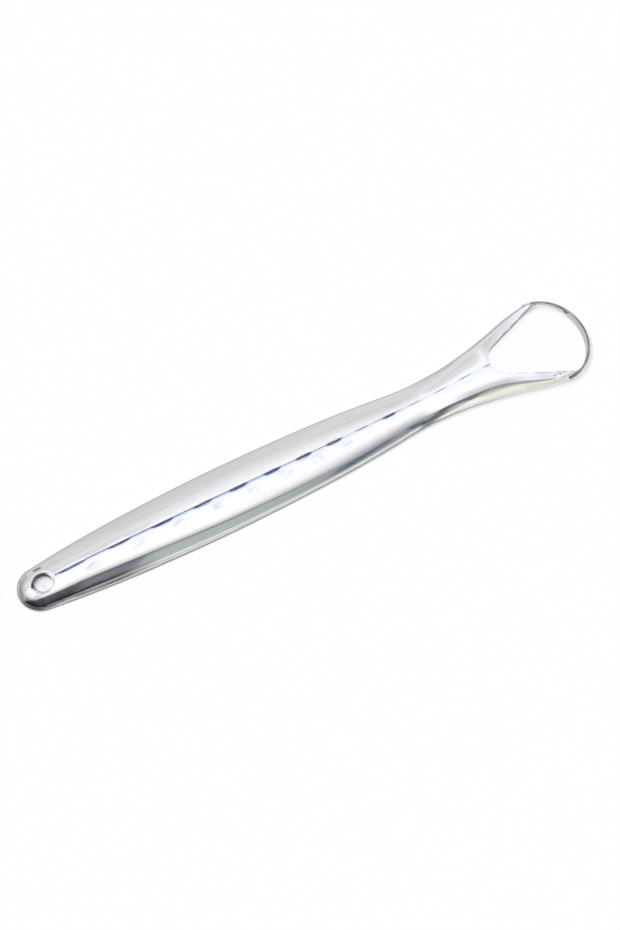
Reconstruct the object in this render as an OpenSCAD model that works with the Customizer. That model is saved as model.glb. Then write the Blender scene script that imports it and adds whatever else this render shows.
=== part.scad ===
// Tongue scraper of polished sheet: an arched handle with a hang hole, a head whose two arms
// fork round an open window, and a thin scraping hoop on edge that is joined to both arms.
// Origin: centre of the overall box, on the resting plane. +X runs to the hoop, +Z is up.
// Places along the tool are measured from its round end.

/* [Overall] */
// Length from the round end to the tip of the hoop
total_len = 150; // [130:1:180]
// Thickness of the handle's sheet
sheet_t = 0.5; // [0.4:0.05:0.7]

/* [Handle] */
// Width of the handle where it is widest
handle_w = 16.3; // [14:0.1:20]
// Width of the neck where it is narrowest
neck_w = 11.1; // [9:0.1:13]
// Radius of the round end in plan
end_r = 5.4; // [4.6:0.1:6.5]
// Place of the widest part of the handle
widest_place = 52; // [40:1:70]
// Distance from the narrowest part of the neck to the tip of the hoop
neck_to_tip = 45; // [40:1:55]
// Height of the crest over the round end
end_h = 2.7; // [2.4:0.1:4]
// Height of the crest where it is highest, behind the round end
crest_h = 3.5; // [3:0.1:5]
// Height of the crest at the neck
neck_h = 2.1; // [1.8:0.1:3]

/* [Hang hole] */
// Diameter of the hang hole
hole_d = 4.4; // [3:0.1:5]
// Distance from the round end to the centre of the hole
hole_place = 6.3; // [5.8:0.1:7.5]

/* [Head] */
// Width of the head over its two shoulders
head_w = 22.9; // [19:0.1:26]
// Length of the hoop from the shoulders to its tip
hoop_len = 10.3; // [8:0.1:13]
// Height of the crest just behind the window
head_h = 3.5; // [3:0.1:5]
// Height of the arms' top at the shoulders
shoulder_h = 2.1; // [1.8:0.1:2.6]
// Clearance between the shoulders' rim and the resting plane
head_lift = 0.6; // [0.2:0.1:0.8]
// Length of the window from its inner end to the inside of the hoop
window_len = 25.2; // [22:0.1:28]
// Radius of the window's inner end
window_r = 4.4; // [3.4:0.1:4.8]
// Width of an arm at the shoulder, between the window and the outer edge
arm_w = 2.1; // [1.6:0.1:3]
// Slope of the flange along the head's outer edges, in degrees
flange_slope = 58; // [50:1:66]

/* [Scraping hoop] */
// Thickness of the strip
strip_t = 0.5; // [0.4:0.05:0.6]
// Height of the hoop's top edge over the resting plane
strip_top = 1.35; // [1.2:0.05:1.6]
// Height of the strip's bottom edge over the resting plane at the tip
strip_foot = 0.1; // [0.05:0.05:0.2]
// How far the top edge leans out over the bottom edge at the tip
strip_overhang = 0.7; // [0:0.05:0.9]
// Depth of the step where the deeper scraping edge begins
blade_step = 0.3; // [0.1:0.05:0.4]

/* [Joining beads] */
// Length of an arm's tongue that lies along the strip past the shoulder
tongue_len = 2.1; // [1.6:0.1:2.4]
// Length of a bead along the strip
bead_len = 2.2; // [1.6:0.1:3]
// How far a bead stands out from the strip where it meets the tongue
bead_w = 0.5; // [0.3:0.05:0.6]
// Height of a bead on the strip's inner face
bead_h = 0.6; // [0.4:0.05:0.7]
// Gap that keeps the pieces' curved faces from biting into each other
fit_gap = 0.02; // [0.01:0.01:0.05]

/* [Hidden] */

// How full the arch is: 2 is an ellipse, more is boxier
arch_power = 2.15;
// How far the head's top falls towards its flanges, and how softly it is creased there
top_fall_share = 0.18;
crease_share = 0.2;
// Angle between the handle's side and its centre line behind the round end
end_taper = 6.5;
// Half of the angle, seen from the shoulders' middle, over which the scraping edge is deeper
blade_angle = 24;
// Angle over which the step in the scraping edge runs
blade_step_angle = 3;

// Mesh steps: round the end, across the arch, along the handle, and along the hoop
end_steps = 14;
arch_steps = 28;
along_steps = 56;
hoop_steps = 72;
window_steps = 24;
tongue_steps = 6;
bead_steps = 10;

neck_place = total_len - neck_to_tip;
shoulder_place = total_len - hoop_len;
window_place = total_len - strip_t - window_len;
overrun = crest_h;
body_color = [0.80, 0.81, 0.82];
bead_color = [0.86, 0.86, 0.87];

function mix(low, high, share) = low + (high - low)*share;

// Half width of the rim: [place, half width]
plan_rows = [
    [end_r - end_r*sin(end_taper), end_r*cos(end_taper)],
    [mix(end_r, widest_place, 0.23), mix(end_r, handle_w/2, 0.42)],
    [mix(end_r, widest_place, 0.53), mix(end_r, handle_w/2, 0.77)],
    [widest_place, handle_w/2],
    [mix(widest_place, neck_place, 0.20), mix(handle_w/2, neck_w/2, 0.035)],
    [mix(widest_place, neck_place, 0.50), mix(handle_w/2, neck_w/2, 0.22)],
    [mix(widest_place, neck_place, 0.80), mix(handle_w/2, neck_w/2, 0.67)],
    [mix(widest_place, neck_place, 0.92), mix(handle_w/2, neck_w/2, 0.93)],
    [neck_place, neck_w/2],
    [mix(neck_place, shoulder_place, 0.20), mix(neck_w/2, head_w/2, 0.045)],
    [mix(neck_place, shoulder_place, 0.43), mix(neck_w/2, head_w/2, 0.235)],
    [mix(neck_place, shoulder_place, 0.66), mix(neck_w/2, head_w/2, 0.54)],
    [mix(neck_place, shoulder_place, 0.84), mix(neck_w/2, head_w/2, 0.83)],
    [shoulder_place, head_w/2]
];

// Height of the crest line over the resting plane: [place, height]
crest_rows = [
    [0, end_h],
    [end_r, end_h],
    [mix(end_r, widest_place, 0.22), mix(end_h, crest_h, 0.85)],
    [mix(end_r, widest_place, 0.42), crest_h],
    [mix(end_r, widest_place, 0.85), mix(crest_h, neck_h, 0.25)],
    [mix(widest_place, neck_place, 0.45), mix(crest_h, neck_h, 0.72)],
    [neck_place, neck_h],
    [mix(neck_place, window_place, 0.52), mix(neck_h, head_h, 0.43)],
    [window_place, head_h],
    [mix(window_place, shoulder_place, 0.35), mix(head_h, shoulder_h, 0.15)],
    [mix(window_place, shoulder_place, 0.70), mix(head_h, shoulder_h, 0.70)],
    [shoulder_place, shoulder_h],
    [total_len, strip_top]
];

// Height of the rim over the resting plane: [place, height]
rim_rows = [
    [0, 0],
    [mix(widest_place, neck_place, 0.75), 0],
    [mix(neck_place, shoulder_place, 0.50), head_lift*0.70],
    [shoulder_place, head_lift],
    [total_len, head_lift]
];

// How far the arch has turned into the head's flatter top with a flange at each side
flange_rows = [
    [0, 0],
    [neck_place, 0],
    [mix(neck_place, window_place, 0.55), 0.7],
    [window_place, 0.9],
    [shoulder_place, 1],
    [total_len, 1]
];

// A smooth curve through rows of [place, value], level at each turning point
function row_before(rows, place, i = 0) =
    (i >= len(rows) - 2 || place < rows[i + 1][0]) ? i : row_before(rows, place, i + 1);
function rise(rows, i) = (rows[i + 1][1] - rows[i][1])/(rows[i + 1][0] - rows[i][0]);
function slope_at(rows, i) =
    i == 0 ? rise(rows, 0)
    : i == len(rows) - 1 ? rise(rows, i - 1)
    : let (before = rise(rows, i - 1), after = rise(rows, i))
        before*after <= 0 ? 0 : 2*before*after/(before + after);
function curve(rows, place) =
    let (
        i = row_before(rows, place),
        span = rows[i + 1][0] - rows[i][0],
        t = (place - rows[i][0])/span
    )
    (2*t^3 - 3*t^2 + 1)*rows[i][1] + (t^3 - 2*t^2 + t)*span*slope_at(rows, i)
        + (3*t^2 - 2*t^3)*rows[i + 1][1] + (t^3 - t^2)*span*slope_at(rows, i + 1);

// Half width at a place: the arms' outer edge up to the shoulder, then the hoop's ellipse
function half_width(place) =
    place <= shoulder_place ? curve(plan_rows, place)
    : head_w/2*sqrt(1 - ((place - shoulder_place)/hoop_len)^2);

// Shares of the half width and of the depth at an angle from the crest, with the angle's sign
function across_share(angle) = sign(angle)*pow(abs(sin(angle)), 2/arch_power);
function depth_share(angle) = pow(abs(cos(angle)), 2/arch_power);
arch_angles = [for (j = [0:arch_steps]) 90 - 180*j/arch_steps];

// Share of the depth where the flatter top meets a flange that rises by steep_share of the depth
function soft_min(a, b) =
    let (h = min(1, max(0, 0.5 + (b - a)/(2*crease_share)))) mix(b, a, h) - crease_share*h*(1 - h);
function flange_share(across, steep_share) =
    soft_min(1 - top_fall_share*across^2, (1 - across)*steep_share);

// One line of points over the round end: its two halves turn back from the crest's end
function end_line(turn, inset) = [
    for (angle = arch_angles)
        let (reach = (end_r - inset)*across_share(abs(angle)))
        [end_r - reach*sin(turn), sign(angle)*reach*cos(turn), (end_h - inset)*depth_share(angle)]
];

// One line of points over the handle or head. Behind the round end its rim lags the crest.
function arch_line(place, inset) =
    let (
        lag_share = max(0, 1 - (place - end_r)/(widest_place - end_r))^4,
        lag = end_r*sin(end_taper)*lag_share,
        rim_place = place - lag,
        rim_z = curve(rim_rows, rim_place),
        reach = half_width(rim_place) - inset,
        depth = curve(crest_rows, place) - rim_z - inset,
        head_share = curve(flange_rows, place),
        steep_share = reach/depth*tan(flange_slope)
    )
    [for (angle = arch_angles)
        let (
            across = across_share(angle),
            up_share = mix(depth_share(angle), flange_share(abs(across), steep_share), head_share)
        )
        [place - lag*abs(across), reach*across, rim_z + depth*up_share]
    ];

// The arms' points end where the window's sides meet the hoop
window_center = window_place + window_r;
arm_inner = head_w/2 - arm_w;
// Angle between a side of the window and the centre line: the side is a tangent to the inner end
window_spread = atan2(arm_inner, shoulder_place - window_center)
    - asin(window_r/norm([shoulder_place - window_center, arm_inner]));
tongue_angle = acos(tongue_len/hoop_len);
shell_end = mix(shoulder_place, total_len, 0.35);

end_turns = [for (i = [0:end_steps - 1]) 90 - (90 - end_taper)*i/end_steps];
shell_places = concat(
    [for (i = [0:along_steps]) mix(end_r, shoulder_place, i/along_steps)],
    [for (i = [1:tongue_steps]) mix(shoulder_place, shell_end, i/tongue_steps)]
);

// All points of one skin, line by line from the tip of the round end to the arms
function skin(inset) = concat(
    [for (turn = end_turns) end_line(turn, inset)],
    [for (place = shell_places) arch_line(place, inset)]
);

function reverse(list) = [for (i = [len(list) - 1:-1:0]) list[i]];

// The two triangles of a four-sided face, whose corners run clockwise from outside or backwards
function quad(a, b, c, d, backwards) =
    backwards == 1 ? [[a, c, b], [a, d, c]] : [[a, b, c], [a, c, d]];

module closed_shell() {
    outer = skin(0);
    inner = skin(sheet_t);
    lines = len(outer);
    points_per_line = arch_steps + 1;
    size = lines*points_per_line;
    points = concat([for (line = outer) for (p = line) p], [for (line = inner) for (p = line) p]);
    // Index of a point: line i, place j across, on the outer or inner skin
    function at(i, j, side) = side*size + i*points_per_line + j;
    faces = concat(
        [for (i = [0:lines - 2]) for (j = [0:arch_steps - 1]) for (side = [0, 1])
            let (a = at(i, j, side), b = at(i + 1, j, side), k = j + 1, c = at(i + 1, k, side), d = at(i, k, side))
            each (j < arch_steps/2 ? quad(a, b, c, d, side) : quad(b, c, d, a, side))],
        [for (i = [0:lines - 2]) for (j = [0, arch_steps])
            let (a = at(i, j, 0), b = at(i + 1, j, 0), c = at(i + 1, j, 1), d = at(i, j, 1))
            each quad(a, b, c, d, j == 0 ? 1 : 0)],
        [for (i = [lines - 1]) for (j = [0:arch_steps - 1])
            each quad(at(i, j, 0), at(i, j + 1, 0), at(i, j + 1, 1), at(i, j, 1), 1)]
    );
    polyhedron(points, faces, convexity = 8);
}

// Half of the window's round inner end, up to where a straight side leaves it
function window_side(y_sign) = [
    for (i = [0:window_steps])
        let (angle = (90 - window_spread)*i/window_steps)
        [window_center - window_r*cos(angle), y_sign*window_r*sin(angle)]
];

module window_cut() {
    far = window_side(1);
    near = window_side(-1);
    last = far[window_steps];
    run = total_len - last[0];
    far_corner = [total_len, last[1] + run*tan(window_spread)];
    linear_extrude(height = head_h + overrun)
        polygon(concat(far, [far_corner, [far_corner[0], -far_corner[1]]],
            [for (i = [window_steps:-1:1]) near[i]]));
}

// Plan of the hoop at an angle from its tip: a point on the top edge's outer side, moved inward
function hoop_normal(angle) =
    let (n = [cos(angle)/hoop_len, sin(angle)/(head_w/2)]) n/norm(n);
function hoop_point(angle, inward) =
    [shoulder_place + hoop_len*cos(angle), head_w/2*sin(angle)] - inward*hoop_normal(angle);

// Everything ahead of the shoulders but the two tongues, which end square to the strip
module strip_seat() {
    turns = [for (i = [0:tongue_steps]) mix(90, tongue_angle, i/tongue_steps)];
    seam = [for (angle = turns) hoop_point(angle, strip_t + fit_gap)];
    linear_extrude(height = head_h + overrun) difference() {
        translate([shoulder_place, -head_w]) square([head_w, 2*head_w]);
        for (y_sign = [-1, 1]) scale([1, y_sign])
            polygon(concat(seam, [hoop_point(tongue_angle, 2*arm_w), [shoulder_place, 0]]));
    }
}

module handle_shell() {
    color(body_color) translate([-total_len/2, 0]) difference() {
        closed_shell();
        window_cut();
        strip_seat();
        translate([hole_place, 0, -overrun])
            cylinder(h = crest_h + 2*overrun, d = hole_d, $fn = 64);
    }
}

module scraping_hoop() {
    angles = [for (i = [0:hoop_steps]) mix(-90, 90, i/hoop_steps)];
    function blade_share(angle) =
        let (t = min(1, max(0, (blade_angle - abs(angle))/blade_step_angle + 0.5))) t*t*(3 - 2*t);
    function foot(angle) =
        let (plain = mix(head_lift, strip_foot + blade_step, cos(angle)^2))
        plain - blade_step*blade_share(angle);
    function ring(angle) =
        let (
            lean = strip_overhang*cos(angle)^2,
            outer_top = hoop_point(angle, 0),
            inner_top = hoop_point(angle, strip_t),
            outer_foot = hoop_point(angle, lean),
            inner_foot = hoop_point(angle, lean + strip_t)
        )
        [
            [outer_top[0], outer_top[1], strip_top],
            [inner_top[0], inner_top[1], strip_top],
            [inner_foot[0], inner_foot[1], foot(angle)],
            [outer_foot[0], outer_foot[1], foot(angle)]
        ];
    corners = 4;
    points = [for (angle = angles) each ring(angle)];
    faces = concat(
        [for (i = [0:hoop_steps - 1]) for (k = [0:corners - 1])
            let (a = i*corners + k, b = i*corners + (k + 1)%corners, c = b + corners, d = a + corners)
            each quad(a, b, c, d, 0)],
        [[3, 2, 1, 0]],
        [[for (k = [0:corners - 1]) hoop_steps*corners + k]]
    );
    color(body_color) translate([-total_len/2, 0]) polyhedron(points, faces, convexity = 4);
}

// A drop that runs along the strip's inner face from an arm's tongue and thins out to a point
module joint_bead(y_sign) {
    turn = atan(bead_len/hoop_len);
    middle = mix(head_lift, strip_top, 0.5);
    end_share = 0.12;
    function ring(i) =
        let (
            angle = tongue_angle - turn*i/bead_steps,
            size_share = mix(1, end_share, pow(i/bead_steps, 1.5))
        )
        [for (k = [0:bead_steps])
            let (
                lift = 90 - 180*k/bead_steps,
                inward = strip_t + fit_gap + bead_w*size_share*cos(lift),
                p = hoop_point(angle, inward)
            )
            [p[0], y_sign*p[1], middle + bead_h/2*size_share*sin(lift)]];
    points = [for (i = [0:bead_steps]) each ring(i)];
    size = bead_steps + 1;
    sides = [for (i = [0:bead_steps - 1]) for (k = [0:bead_steps])
        let (a = i*size + k, b = i*size + (k + 1)%size, c = b + size, d = a + size)
        each quad(a, b, c, d, y_sign > 0 ? 1 : 0)];
    start = [for (k = [0:bead_steps]) k];
    end = [for (k = [bead_steps:-1:0]) bead_steps*size + k];
    ends = y_sign > 0 ? [start, end] : [reverse(start), reverse(end)];
    color(bead_color) translate([-total_len/2, 0]) polyhedron(points, concat(sides, ends), convexity = 4);
}
module far_joint_bead() { joint_bead(1); }
module near_joint_bead() { joint_bead(-1); }

handle_shell();
scraping_hoop();
far_joint_bead();
near_joint_bead();
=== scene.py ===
import math

import bpy
import numpy as np
from mathutils import Matrix, Vector


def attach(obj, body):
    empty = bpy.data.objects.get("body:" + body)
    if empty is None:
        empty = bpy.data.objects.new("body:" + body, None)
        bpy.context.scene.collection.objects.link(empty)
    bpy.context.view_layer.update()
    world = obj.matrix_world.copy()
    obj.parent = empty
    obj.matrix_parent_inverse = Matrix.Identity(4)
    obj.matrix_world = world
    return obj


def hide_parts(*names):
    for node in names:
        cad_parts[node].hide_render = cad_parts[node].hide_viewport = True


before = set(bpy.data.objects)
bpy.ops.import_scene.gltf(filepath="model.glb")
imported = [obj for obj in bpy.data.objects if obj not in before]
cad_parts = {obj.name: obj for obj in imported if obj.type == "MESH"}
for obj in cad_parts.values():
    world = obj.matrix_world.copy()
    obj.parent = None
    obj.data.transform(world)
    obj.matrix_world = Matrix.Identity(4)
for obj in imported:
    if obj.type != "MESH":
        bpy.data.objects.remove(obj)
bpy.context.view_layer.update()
print("frame loaded")

mm = 0.001  # shapes are worked out in millimetres, objects are in metres
wearSheenWidth = 0.7  # of the brighter line along the rim and the strip's edges, partly rubbed wear and partly a painted highlight
burrWidth = 0.3  # of the darker line along the window's edge

# Places along the tool are counted from its round end. The frame's x is 0 at half its length.
tool = {
    "length": 150.0,
    "sheet": 0.5,
    "endRadius": 5.4,
    "endTaper": math.radians(6.5),
    "lagPower": 4,  # how fast the rim's lag behind the crest ends
    "widestPlace": 52.0,
    "width": 16.3,
    "neckPlace": 105.0,
    "neckWidth": 11.1,
    "shoulderPlace": 139.7,
    "headWidth": 22.9,
    "endHeight": 2.7,
    "crestHeight": 3.5,
    "neckHeight": 2.1,
    "headHeight": 3.5,
    "shoulderHeight": 2.1,
    "headLift": 0.6,
    "archPower": 2.15,  # 2 is an ellipse, more is boxier
    "flangeSlope": math.radians(58),  # of the head's outer edges
    "topFall": 0.18,
    "creaseAtNeck": 0.34,  # softness of the flange's crease, as a share of the head's depth
    "creaseAtShoulder": 0.12,
    "holePlace": 6.3,
    "holeRadius": 2.2,
    "windowPlace": 124.3,
    "windowRadius": 4.4,
    "armWidth": 2.1,
    "tongueLength": 2.1,
    "edgeRound": 0.14,
    "windowRound": 0.05,
    "holeRound": 0.16,
    "lipWidth": 0.75,  # the sheet is pressed down a little round the hang hole
    "lipDepth": 0.2,
    "collarWidth": 0.5,  # and has a low collar underneath
    "collarDepth": 0.95,
    "turnWidth": 0.45,  # the window's edge is turned down a little
    "turnDepth": 0.5,
}

strip = {
    "thickness": 0.5,
    "top": 1.35,
    "foot": 0.1,
    "overhang": 0.7,  # how far the top edge stands out over the foot at the tip
    "bladeStep": 0.3,
    "bladeAngle": math.radians(24),
    "bladeStepAngle": math.radians(3),
    "edgeRound": 0.1,
    "cornerSteps": 3,
    "fitGap": 0.02,
    "faceShares": (0.22, 0.5, 0.78),
    "steps": 180,
    "cutFaces": (1, 2, 3, 4, 5, 12, 13, 14, 15, 16),  # sides of the section that were sheared
    "broadPoints": (8, 9, 10, 19, 20, 21),  # points of the section that are on no corner
    "blendedShare": 0.07,  # of its length, ground flush with the far arm
}


def mix(low, high, share):
    return low + (high - low) * share


def smoothStep(t):
    t = np.clip(t, 0, 1)
    return t * t * (3 - 2 * t)


# A smooth curve through rows of [place, value], level at each turning point
def curveThrough(rows, place):
    x, y = np.array(rows, float).T
    rise = np.diff(y) / np.diff(x)
    slope = np.concatenate([rise[:1], np.zeros(len(rise) - 1), rise[-1:]])
    for i in range(1, len(rise)):
        if rise[i - 1] * rise[i] > 0:
            slope[i] = 2 * rise[i - 1] * rise[i] / (rise[i - 1] + rise[i])
    place = np.asarray(place, float)
    i = np.clip(np.searchsorted(x, place, side="right") - 1, 0, len(rise) - 1)
    span = x[i + 1] - x[i]
    t = (place - x[i]) / span
    return (
        (2 * t**3 - 3 * t**2 + 1) * y[i]
        + (t**3 - 2 * t**2 + t) * span * slope[i]
        + (3 * t**2 - 2 * t**3) * y[i + 1]
        + (t**3 - t**2) * span * slope[i + 1]
    )


# Rows of [place, value]. The shares say where a row lies between two named lengths
def toolRows():
    t = tool
    end, widest, neck, shoulder = t["endRadius"], t["widestPlace"], t["neckPlace"], t["shoulderPlace"]
    wide, slim, head = t["width"] / 2, t["neckWidth"] / 2, t["headWidth"] / 2
    crest, low = t["crestHeight"], t["neckHeight"]
    plan = [[end - end * math.sin(t["endTaper"]), end * math.cos(t["endTaper"])]]
    plan += [[mix(end, widest, a), mix(end, wide, b)] for a, b in ((0.23, 0.42), (0.53, 0.77))]
    plan += [
        [mix(widest, neck, a), mix(wide, slim, b)]
        for a, b in ((0, 0), (0.2, 0.035), (0.5, 0.22), (0.8, 0.67), (0.92, 0.93), (1, 1))
    ]
    plan += [
        [mix(neck, shoulder, a), mix(slim, head, b)]
        for a, b in ((0.2, 0.045), (0.43, 0.235), (0.66, 0.54), (0.84, 0.83), (1, 1))
    ]
    window, top, side = t["windowPlace"], t["headHeight"], t["shoulderHeight"]
    height = [
        [0, t["endHeight"]],
        [end, t["endHeight"]],
        [mix(end, widest, 0.22), mix(t["endHeight"], crest, 0.85)],
        [mix(end, widest, 0.42), crest],
        [mix(end, widest, 0.85), mix(crest, low, 0.25)],
        [mix(widest, neck, 0.45), mix(crest, low, 0.72)],
        [neck, low],
        [mix(neck, window, 0.52), mix(low, top, 0.43)],
        [window, top],
        [mix(window, shoulder, 0.35), mix(top, side, 0.15)],
        [mix(window, shoulder, 0.7), mix(top, side, 0.7)],
        [shoulder, side],
        [t["length"], strip["top"]],
    ]
    rim = [
        [0, 0],
        [mix(widest, neck, 0.75), 0],
        [mix(neck, shoulder, 0.5), t["headLift"] * 0.7],
        [shoulder, t["headLift"]],
        [t["length"], t["headLift"]],
    ]
    flange = [[0, 0], [neck, 0], [mix(neck, window, 0.55), 0.7]]
    flange += [[window, 0.9], [shoulder, 1], [t["length"], 1]]
    return plan, height, rim, flange


planRows, crestRows, rimRows, flangeRows = toolRows()
hoopLength = tool["length"] - tool["shoulderPlace"]
armInner = tool["headWidth"] / 2 - tool["armWidth"]
windowCenter = tool["windowPlace"] + tool["windowRadius"]
armReach = tool["shoulderPlace"] - windowCenter
windowSpread = math.atan2(armInner, armReach) - math.asin(
    tool["windowRadius"] / math.hypot(armReach, armInner)
)
tongueAngle = math.acos(tool["tongueLength"] / hoopLength)


def halfWidth(place):
    place = np.asarray(place, float)
    past = np.clip((place - tool["shoulderPlace"]) / hoopLength, 0, 1)
    ellipse = tool["headWidth"] / 2 * np.sqrt(1 - past**2)
    return np.where(past > 0, ellipse, curveThrough(planRows, place))


def rimLag(place):  # behind the round end the rim lags the crest
    run = (place - tool["endRadius"]) / (tool["widestPlace"] - tool["endRadius"])
    return tool["endRadius"] * math.sin(tool["endTaper"]) * np.clip(1 - run, 0, None) ** tool["lagPower"]


# The head's section, as a share of its depth: a flatter top that creases into a steep flange
def flangeShape(place, across, steepness):
    run = (place - tool["neckPlace"]) / (tool["shoulderPlace"] - tool["neckPlace"])
    crease = mix(tool["creaseAtNeck"], tool["creaseAtShoulder"], smoothStep(run))
    top, side = 1 - tool["topFall"] * across**2, (1 - across) * steepness
    h = np.clip(0.5 + (side - top) / (2 * crease), 0, 1)
    return mix(side, top, h) - crease * h * (1 - h)


def pressLip(points, inset):  # lowers the sheet round the hang hole
    away = np.hypot(points[..., 0] - tool["holePlace"], points[..., 1]) - tool["holeRadius"]
    points[..., 2] -= tool["lipDepth"] * (1 - smoothStep(away / tool["lipWidth"]))
    if inset > 0:
        points[..., 2] -= tool["collarDepth"] * (1 - smoothStep(away / tool["collarWidth"]))
    return points


# A point of the outer skin, or of the inner one if inset is the sheet's thickness
def archPoint(place, angle, inset):
    power = 2 / tool["archPower"]
    across = np.sin(angle) ** power
    rimPlace = place - rimLag(place)
    rimHeight = curveThrough(rimRows, rimPlace)
    reach = halfWidth(rimPlace) - inset
    depth = curveThrough(crestRows, place) - rimHeight - inset
    flange = flangeShape(place, across, reach / depth * math.tan(tool["flangeSlope"]))
    share = mix(np.abs(np.cos(angle)) ** power, flange, curveThrough(flangeRows, place))
    x, y = place - rimLag(place) * across, reach * across
    return pressLip(np.stack(np.broadcast_arrays(x, y, rimHeight + depth * share), -1), inset)


def endPoint(turn, angle, inset):
    power = 2 / tool["archPower"]
    reach = (tool["endRadius"] - inset) * np.sin(angle) ** power
    height = (tool["endHeight"] - inset) * np.abs(np.cos(angle)) ** power
    x, y = tool["endRadius"] - reach * np.sin(turn), reach * np.cos(turn)
    return pressLip(np.stack(np.broadcast_arrays(x, y, height), -1), inset)


def angleOf(share):  # arch angle at a share of the half width
    return np.arcsin(np.clip(share, 0, 1) ** (tool["archPower"] / 2))


def archPlaceOf(x, y, inset):  # place and arch angle of a plan point
    place = x
    for _ in range(30):  # settles well within these rounds
        share = y / (halfWidth(place - rimLag(place)) - inset)
        place = x + rimLag(place) * share
    return place, float(angleOf(share))


def hoopNormal(angle):
    n = np.stack([np.cos(angle) / hoopLength, np.sin(angle) / (tool["headWidth"] / 2)], -1)
    return n / np.linalg.norm(n, axis=-1, keepdims=True)


def hoopPoint(angle, inward):  # plan of the hoop, counted from its tip
    angle = np.asarray(angle, float)
    outer = np.stack(
        [tool["shoulderPlace"] + hoopLength * np.cos(angle), tool["headWidth"] / 2 * np.sin(angle)], -1
    )
    return outer - np.asarray(inward)[..., None] * hoopNormal(angle)


mesh = {
    "innerSteps": 20,  # from the crest or the window to the seam's line
    "outerSteps": 5,  # from there to the rim
    "endRays": 12,
    "sideRays": 7,
    "rayShares": (0, 0.03, 0.065, 0.1, 0.14, 0.19, 0.26, 0.34, 0.44, 0.55, 0.66, 0.77, 0.86, 0.93, 1),
    "endPatch": 11.6,  # place where the patch round the hole meets the handle's lines
    "handleLines": 78,
    "windowLines": 10,
    "armLines": 13,
    "tongueLines": 3,
    "sharpTurn": 0.6,  # edges whose faces turn by more than this cosine says get rounded
    "holeReach": 0.3,  # edges this near to the hang hole are rounded like it
    "windowStart": 0.1,  # and the window's edges start this far behind the window
    "rimReach": 0.6,  # the window's edges lie farther than this from the outline
    "rimMargin": 0.05,
    "bevelSteps": 3,
    "smoothLevels": 1,
}


def seamShare(place, inset):  # the line on the skin that runs on as the tongue's outer edge
    reach = halfWidth(place - rimLag(place))
    return (reach - strip["thickness"] - strip["fitGap"]) / (reach - inset)


def acrossAngles(place, edge, inset):
    seam = float(angleOf(seamShare(place, inset)))
    start = float(angleOf(edge / (halfWidth(place) - inset))) if edge > 0 else 0
    inner = np.linspace(start, seam, mesh["innerSteps"] + 1)
    outer = np.linspace(seam, math.pi / 2, mesh["outerSteps"] + 1)[1:]
    return np.concatenate([inner, outer])


def turnDown(line, edge, inset):  # lowers the inner skin beside the window's edge
    if inset > 0:
        away = np.hypot(line[:, 0] - edge[0], line[:, 1] - edge[1])
        line[:, 2] -= tool["turnDepth"] * (1 - smoothStep(away / tool["turnWidth"]))
    return line


# Lines across one half of the tool, from the crest or the window's edge out to the rim
def halfLines(inset):
    lines = []
    for place in np.linspace(mesh["endPatch"], tool["windowPlace"], mesh["handleLines"]):
        lines.append(archPoint(place, acrossAngles(place, 0, inset), inset))
    radius = tool["windowRadius"]
    for k in range(1, mesh["windowLines"] + 1):
        turn = (math.pi / 2 - windowSpread) * k / mesh["windowLines"]
        place = windowCenter - radius * math.cos(turn)
        line = archPoint(place, acrossAngles(place, radius * math.sin(turn), inset), inset)
        lines.append(turnDown(line, line[0], inset))
    start, edge = place, radius * math.sin(turn)
    for k in range(1, mesh["armLines"] + 1):
        place = mix(start, tool["shoulderPlace"], k / mesh["armLines"])
        y = edge + (place - start) * math.tan(windowSpread)
        line = archPoint(place, acrossAngles(place, y, inset), inset)
        lines.append(turnDown(line, line[0], inset))
    return lines


# The tongue ahead of the shoulder, which lies along the strip and ends square to it
def tongueLines(inset):
    thick = strip["thickness"] + strip["fitGap"]
    corner = hoopPoint(tongueAngle, thick)
    normal = hoopNormal(tongueAngle)
    slope = math.tan(windowSpread)
    lineY = armInner + (corner[0] - tool["shoulderPlace"]) * slope
    width = (corner[1] - lineY) / (normal[1] - normal[0] * slope)
    endPlace = corner[0] - width * normal[0]
    lines = []
    for k in range(1, mesh["tongueLines"] + 1):
        share = k / mesh["tongueLines"]
        outer = hoopPoint(mix(math.pi / 2, tongueAngle, share), thick)
        place = mix(tool["shoulderPlace"], endPlace, share)
        inner = np.array([place, armInner + (place - tool["shoulderPlace"]) * slope])
        steps = np.linspace(0, 1, mesh["innerSteps"] + 1)[:, None]
        plan = inner * (1 - steps) + outer * steps
        angle = angleOf(plan[:, 1] / (halfWidth(plan[:, 0]) - inset))
        line = archPoint(plan[:, 0], angle, inset)
        lines.append(turnDown(line, line[0], inset))
    return lines


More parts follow.
